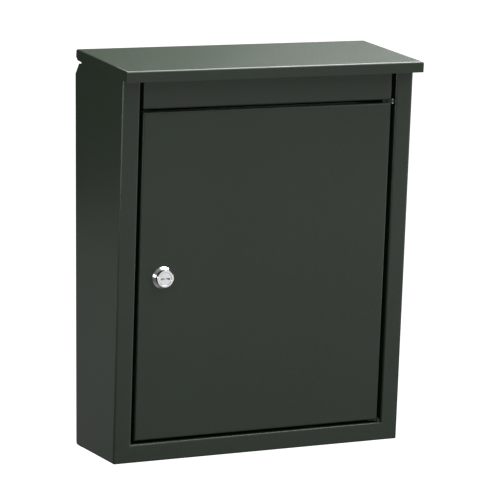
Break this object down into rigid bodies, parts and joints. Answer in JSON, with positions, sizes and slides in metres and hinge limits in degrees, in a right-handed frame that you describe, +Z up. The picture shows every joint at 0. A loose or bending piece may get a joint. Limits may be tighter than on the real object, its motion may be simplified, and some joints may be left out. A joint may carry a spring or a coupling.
{
  "type": "wall mounted mailbox",
  "caption": "Wall mounted steel mailbox with a sloping lift-up lid over the mail slot, a fixed band under it and a side-hinged front door with a cam lock.",
  "frame": {"origin": "centre of the four wall-screw holes, on the rear face that lies on the wall", "axes": "+X to the right as seen from the front, +Y into the wall (the front faces -Y), +Z up"},
  "size_m": [0.3278, 0.1461, 0.4137],
  "materials": {
    "painted_steel": "satin powder coat, dark green",
    "zinc_steel": "zinc plated",
    "lock_chrome": "polished",
    "buffer_rubber": "matte",
    "washer_nylon": "black nylon"
  },
  "bodies": {
    "cabinet": {"cabinet_shell": "painted_steel", "back_panel": "painted_steel", "floor_plate": "painted_steel", "front_transom": "painted_steel", "transom_brackets": "painted_steel", "transom_hinge_plate": "painted_steel", "upper_hinge_pin": "zinc_steel", "lower_hinge_pin": "painted_steel", "lower_hinge_washer": "washer_nylon", "lid_bearing_plates": "painted_steel", "lid_buffers": "buffer_rubber", "door_stop_tabs": "painted_steel", "door_stop_buffers": "buffer_rubber"},
    "lid": {"lid_cover": "painted_steel", "lid_pivot_studs": "zinc_steel", "lid_spacer_washers": "washer_nylon", "lid_stud_clips": "zinc_steel"},
    "door": {"door_panel": "painted_steel", "door_upper_hinge_plate": "painted_steel", "door_lower_hinge_plate": "painted_steel", "lock_backing_plate": "zinc_steel", "lock_housing": "lock_chrome", "lock_washer": "zinc_steel", "lock_nut": "zinc_steel"},
    "lock": {"lock_plug": "lock_chrome", "lock_cam": "zinc_steel", "cam_washer": "zinc_steel", "cam_screw": "zinc_steel"}
  },
  "joints": [
    {"name": "lid_hinge", "type": "hinge", "parent": "cabinet", "child": "lid", "pos_m": [0, -0.02001, 0.20771], "axis": [-1, 0, 0], "range_deg": [0, 70]},
    {"name": "door_hinge", "type": "hinge", "parent": "cabinet", "child": "door", "pos_m": [0.1395, -0.11219, -0.00942], "axis": [0, -0.068, 0.9977], "range_deg": [0, 100]},
    {"name": "lock_turn", "type": "hinge", "parent": "door", "child": "lock", "pos_m": [-0.112, -0.11399, -0.00934], "axis": [0, 0.9977, 0.068], "range_deg": [0, 90]}
  ]
}
